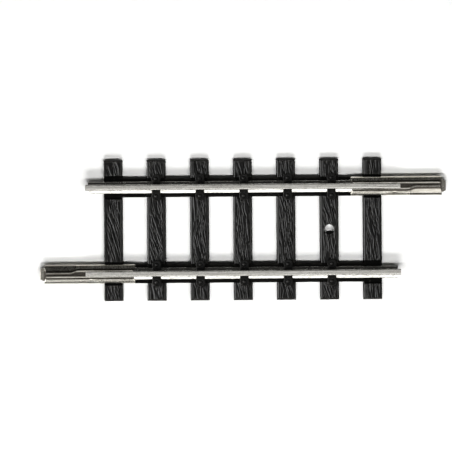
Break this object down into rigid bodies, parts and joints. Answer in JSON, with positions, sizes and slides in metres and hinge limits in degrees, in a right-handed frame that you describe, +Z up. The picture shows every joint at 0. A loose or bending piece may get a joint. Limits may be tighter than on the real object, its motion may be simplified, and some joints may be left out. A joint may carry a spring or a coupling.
{
  "type": "model track section",
  "caption": "Short straight model track: bevelled sleepers on webs with chairs, flat-bottomed rails and a sliding sheet-metal joiner at opposite ends.",
  "frame": {"origin": "on the ground under the middle of the track, halfway between the two rails and halfway along them", "axes": "+X along the rails towards the end with the back rail's joiner, +Y from the front rail to the back rail, +Z up"},
  "size_m": [0.0328, 0.0114, 0.0026],
  "materials": {
    "sleeper_plastic": "satin black moulding with coarse wood grain",
    "rail_metal": "drawn nickel silver with fine lengthwise streaks",
    "joiner_metal": "bright folded nickel silver sheet"
  },
  "bodies": {
    "track": {"sleeper_bed": "sleeper_plastic", "rail_front": "rail_metal", "rail_back": "rail_metal"},
    "joiner_left": {"joiner_left": "joiner_metal"},
    "joiner_right": {"joiner_right": "joiner_metal"}
  },
  "joints": [
    {"name": "joiner_left_slide", "type": "slide", "parent": "track", "child": "joiner_left", "axis": [-1, 0, 0], "range_m": [-0.0006, 0.004]},
    {"name": "joiner_right_slide", "type": "slide", "parent": "track", "child": "joiner_right", "axis": [1, 0, 0], "range_m": [-0.0006, 0.004]}
  ]
}
